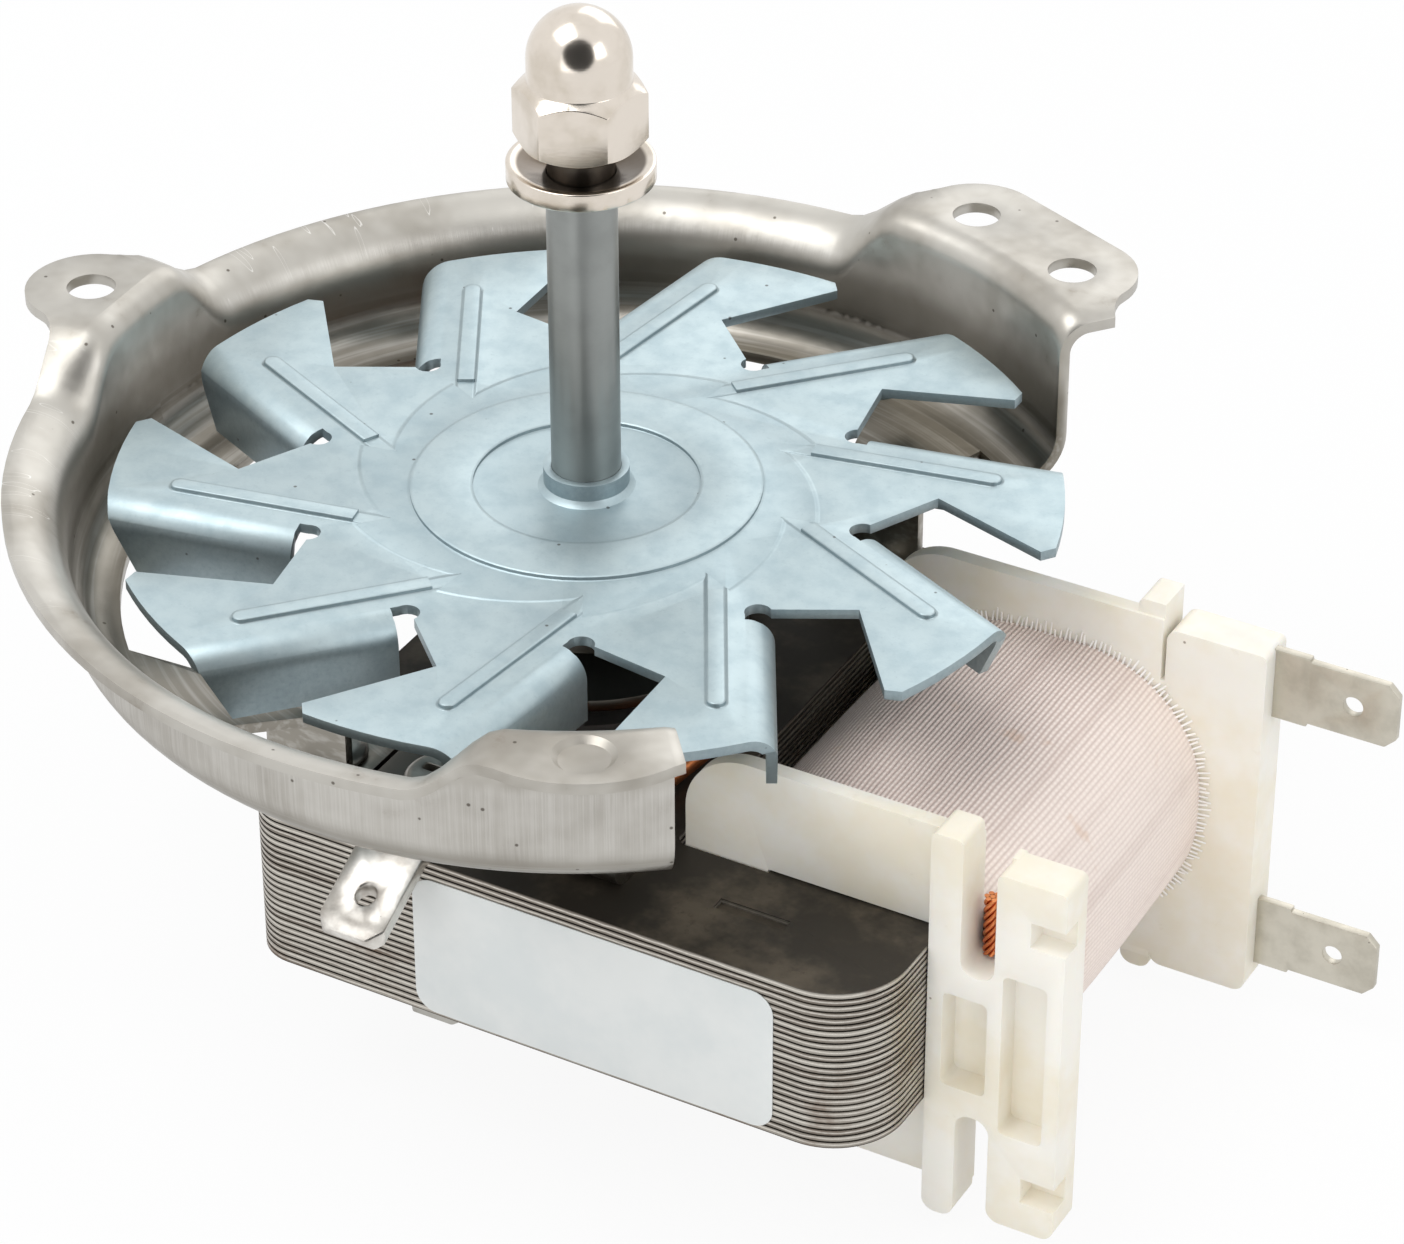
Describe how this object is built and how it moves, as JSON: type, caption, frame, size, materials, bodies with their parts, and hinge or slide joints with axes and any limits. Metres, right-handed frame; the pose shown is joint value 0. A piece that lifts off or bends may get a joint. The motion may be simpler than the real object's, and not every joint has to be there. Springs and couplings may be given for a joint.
{
  "type": "oven fan motor",
  "caption": "Shaded-pole oven fan motor: pressed mounting frame with ears, cooling fan, taped coil on a moulded bobbin, and a long shaft with washer and cap nut.",
  "frame": {"origin": "on the shaft axis, in the plane of the top faces of the mounting ears", "axes": "+Z along the shaft towards the cap nut, +X towards the coil and its terminals, +Y towards the side with the two-hole ear"},
  "size_m": [0.1239, 0.104, 0.0929],
  "materials": {
    "frame_steel": "drawn aluminised steel, satin, lightly stained",
    "fan_steel": "zinc-plated pressed steel, satin with a blue tint",
    "shaft_steel": "ground steel",
    "bright_steel": "nickel-plated, turned",
    "laminations": "bare sheared electrical sheet, darkened",
    "cast_aluminium": "cast",
    "bobbin_plastic": "moulded, cream white",
    "copper": "enamelled or bare copper",
    "woven_tape": "woven glass tape",
    "tab_steel": "tin-plated strip",
    "label_foil": "satin foil, left bare",
    "bracket_steel": "zinc-plated pressed steel",
    "sintered_bronze": "oil-soaked sintered bronze",
    "oiled_felt": "oiled felt",
    "fixing_steel": "zinc-plated steel",
    "thrust_plastic": "moulded bearing plastic"
  },
  "bodies": {
    "stator": {"mounting_frame": "frame_steel", "stator_stack": "laminations", "coil_core": "laminations", "bobbin": "bobbin_plastic", "winding": "copper", "tape_wrap": "woven_tape", "near_lead": "copper", "upper_terminal": "tab_steel", "lower_terminal": "tab_steel", "rating_label": "label_foil", "near_long_shading_ring": "copper", "near_short_shading_ring": "copper", "far_long_shading_ring": "copper", "far_short_shading_ring": "copper", "front_bearing_bracket": "bracket_steel", "rear_bearing_bracket": "bracket_steel", "front_bush": "sintered_bronze", "rear_bush": "sintered_bronze", "front_felt": "oiled_felt", "rear_felt": "oiled_felt", "front_retainer": "bracket_steel", "rear_retainer": "bracket_steel", "near_bracket_screw": "fixing_steel", "far_bracket_screw": "fixing_steel", "near_bracket_nut": "fixing_steel", "far_bracket_nut": "fixing_steel", "near_front_rivet": "fixing_steel", "far_front_rivet": "fixing_steel", "near_back_rivet": "fixing_steel", "far_back_rivet": "fixing_steel"},
    "rotor": {"cooling_fan": "fan_steel", "shaft": "shaft_steel", "dished_washer": "bright_steel", "cap_nut": "bright_steel", "rotor_core": "laminations", "rotor_cage": "cast_aluminium", "upper_spacer": "bracket_steel", "lower_spacer": "bracket_steel", "front_thrust_washer": "thrust_plastic", "rear_thrust_washer": "thrust_plastic"}
  },
  "joints": [
    {"name": "rotor_spin", "type": "hinge", "parent": "stator", "child": "rotor", "pos_m": [0, 0, 0], "axis": [0, 0, 1], "continuous": true}
  ]
}
